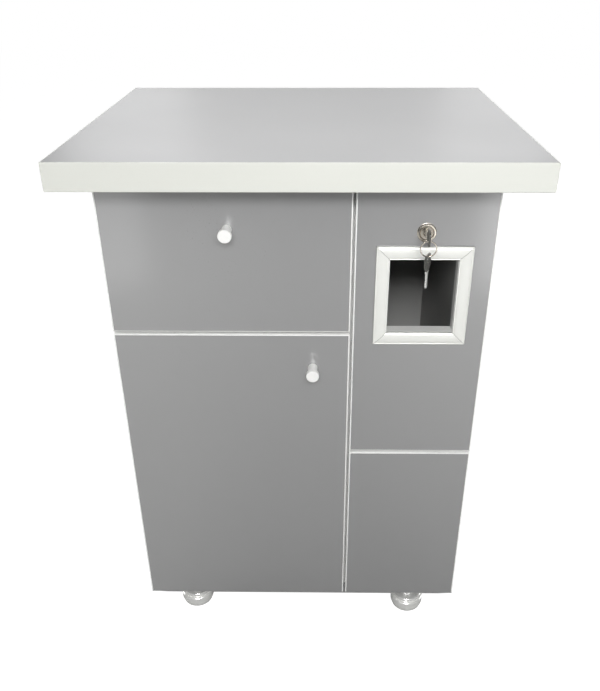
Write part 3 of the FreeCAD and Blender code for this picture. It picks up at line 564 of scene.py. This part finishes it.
FLOOR_RADIUS = 9.0
FLOOR_SIDES = 96
FLOOR_Z = -0.0002
FLOOR_GREY = (0.30, 0.30, 0.30)         # diffuse part seen by the camera
FLOOR_GLOW = 0.985                      # emission seen by the camera
UNDER_CABINET_SHADOW = 0.90                    # painted shadow: taken off the glow beneath the cabinet
FLOOR_BOUNCE = (0.62, 0.62, 0.62 * 0.98)  # diffuse colour for all other rays


def floor_material():
    mat = Mat("floor_white")
    mat.tree.nodes.remove(mat.principled)
    grain = mat.noise(scale=3.0, detail=3.0)
    diffuse = mat.node("BsdfDiffuse", {"Color": mat.vary(FLOOR_GREY, (grain, 0.01))})
    x, y, z = mat.split(mat.coordinates)
    # Painted shadow patch beneath the cabinet: soft at left, right and back, crisp at the front
    sides = mat.remap(mat.absolute(mat.add(x, 0.004)), between=(0.262, 0.285), to=(1.0, 0.0))
    front = mat.remap(y, between=(-0.1710, -0.1692), to=(0.0, 1.0))
    back = mat.remap(y, between=(0.24, 0.30), to=(1.0, 0.0))
    shadow_patch = mat.multiply(sides, mat.multiply(front, back))
    glow = mat.math("MULTIPLY_ADD", shadow_patch, -UNDER_CABINET_SHADOW, FLOOR_GLOW)
    emission = mat.node("Emission", {"Strength": glow})
    seen = mat.node("AddShader", {0: diffuse.outputs[0], 1: emission.outputs[0]})
    # Painted shadow down the middle of the floor for all other rays, so the bounce grows away from
    # the middle
    bounce = mat.remap(mat.absolute(mat.add(x, -0.04)), between=(0.10, 0.75), to=(0.72, 1.15))
    unseen = mat.node("BsdfDiffuse", {"Color": mat.scale_colour(FLOOR_BOUNCE, bounce)})
    mat.for_camera(unseen.outputs[0], seen.outputs[0])


def studio_floor():
    builder = bmesh.new()
    angles = [2 * math.pi * k / FLOOR_SIDES for k in range(FLOOR_SIDES)]
    builder.faces.new([
        builder.verts.new((FLOOR_RADIUS * math.cos(a), FLOOR_RADIUS * math.sin(a), FLOOR_Z))
        for a in angles])
    floor = new_object("studio_floor", builder)
    floor_material()
    floor.data.materials.append(MATERIALS["floor_white"])


# Area lights: name, place, aim, width, height, watts
LIGHTS = [
    ("key", (0.0, -2.3, 2.0), (0.0, -0.2, 0.5), 0.9, 0.5, 38.0),
    ("fill_right", (0.46, -0.92, 1.24), (0.20, -0.1, 0.42), 0.35, 0.30, 0.85),
    ("fill_slot", (0.20, -0.95, 1.11), (0.20, -0.1, 0.48), 0.10, 0.14, 1.0),
    ("fill_left", (-0.58, -0.92, 1.24), (-0.22, -0.2, 0.42), 0.35, 0.30, 0.50),
    ("front_low", (0.0, -2.6, 0.7), (0.0, -0.2, 0.45), 2.4, 0.6, 4.6),
    ("bounce_left", (-0.95, -1.7, 0.03), (-0.6, -0.5, 0.7), 0.7, 1.4, 1.3),
    ("bounce_right", (0.95, -1.7, 0.03), (0.6, -0.5, 0.7), 0.7, 1.4, 2.9),
    ("over_left", (-1.0, 0.4, 2.4), (-0.5, 0.0, 0.86), 0.8, 1.6, 10.5),
    ("over_mid", (0.0, 0.4, 2.4), (0.0, 0.0, 0.86), 0.9, 1.6, 5.0),
    ("back", (0.0, 2.4, 1.9), (0.0, 0.0, 0.6), 2.6, 1.2, 20.5),
    ("back_left", (-1.0, 2.3, 1.5), (-0.2, 0.0, 0.86), 0.85, 1.4, 1.6),
    ("back_right", (1.0, 2.3, 1.5), (0.2, 0.0, 0.86), 0.85, 1.4, 1.9),
    ("side_left", (-2.6, 0.60, 0.55), (-0.28, 0.06, 0.45), 1.0, 0.8, 11.0),
    ("side_right", (2.6, 0.60, 0.55), (0.27, 0.06, 0.45), 1.0, 0.8, 11.0),
]


def area_light(name, place, aim, width, height, watts):
    light = bpy.data.lights.new(name, "AREA")
    light.shape = "RECTANGLE"
    light.size, light.size_y = width, height
    light.energy = watts
    lamp = bpy.data.objects.new(name, light)
    bpy.context.scene.collection.objects.link(lamp)
    lamp.location = place
    lamp.rotation_mode = "QUATERNION"
    lamp.rotation_quaternion = (Vector(aim) - Vector(place)).to_track_quat("-Z", "Y")
    lamp.visible_camera = False


AMBIENT_STRENGTH = 0.04
AMBIENT_DOWN = (0.55, 0.55, 0.54, 1)
AMBIENT_UP = (1.15, 1.15, 1.15, 1)
AMBIENT_STOPS = ((0.48, 0.60), (0.56, 0.75), (0.75, 1.0))  # place between down and up, grey


def studio_world():
    """White to the camera; a faint ambient, brighter from above, to everything else."""
    world = bpy.data.worlds.new("studio")
    bpy.context.scene.world = world
    world.use_nodes = True
    graph = Graph(world.node_tree, "OutputWorld", "Generated")
    height = graph.split(graph.coordinates)[2]
    ramp = graph.node("ValToRGB", {0: graph.remap(height, between=(-1.0, 1.0), to=(0.0, 1.0))})
    stops = ramp.color_ramp.elements
    stops[0].color = AMBIENT_DOWN
    stops[1].color = AMBIENT_UP
    for position, grey in AMBIENT_STOPS:
        stops.new(position).color = (grey, grey, grey, 1)
    ambient = graph.node("Background", {0: ramp.outputs[0], 1: AMBIENT_STRENGTH})
    white = graph.node("Background", {0: (1, 1, 1), 1: 1.0})
    graph.for_camera(ambient.outputs[0], white.outputs[0])


CAMERA_PLACE = (0.0264887, -1.184496, 1.0947085)
CAMERA_YAW, CAMERA_PITCH, CAMERA_ROLL = -0.0126762, 0.5130437, -0.0024424  # radians; pitch is down
CAMERA_LENS = 38.12085326        # mm, on a 36 mm sensor
CAMERA_SHIFT = (-0.01604848046, 0.017688422576)


def camera():
    cos_yaw, sin_yaw = math.cos(CAMERA_YAW), math.sin(CAMERA_YAW)
    cos_pitch, sin_pitch = math.cos(CAMERA_PITCH), math.sin(CAMERA_PITCH)
    cos_roll, sin_roll = math.cos(CAMERA_ROLL), math.sin(CAMERA_ROLL)
    forward = Vector((sin_yaw * cos_pitch, cos_yaw * cos_pitch, -sin_pitch))
    level_right = Vector((cos_yaw, -sin_yaw, 0.0))
    level_up = level_right.cross(forward)
    right = cos_roll * level_right + sin_roll * level_up
    up = -sin_roll * level_right + cos_roll * level_up
    pose = Matrix((right, up, -forward)).transposed().to_4x4()
    pose.translation = CAMERA_PLACE
    lens = bpy.data.cameras.new("camera")
    lens.sensor_fit = "AUTO"
    lens.sensor_width = 36.0
    lens.lens = CAMERA_LENS
    lens.shift_x, lens.shift_y = CAMERA_SHIFT
    lens.clip_start, lens.clip_end = 0.02, 60.0
    viewer = bpy.data.objects.new("camera", lens)
    bpy.context.scene.collection.objects.link(viewer)
    viewer.matrix_world = pose
    bpy.context.scene.camera = viewer


studio_floor()
for light_row in LIGHTS:
    area_light(*light_row)
studio_world()
camera()
bpy.context.scene.view_settings.view_transform = "Standard"
bpy.context.scene.view_settings.look = "None"
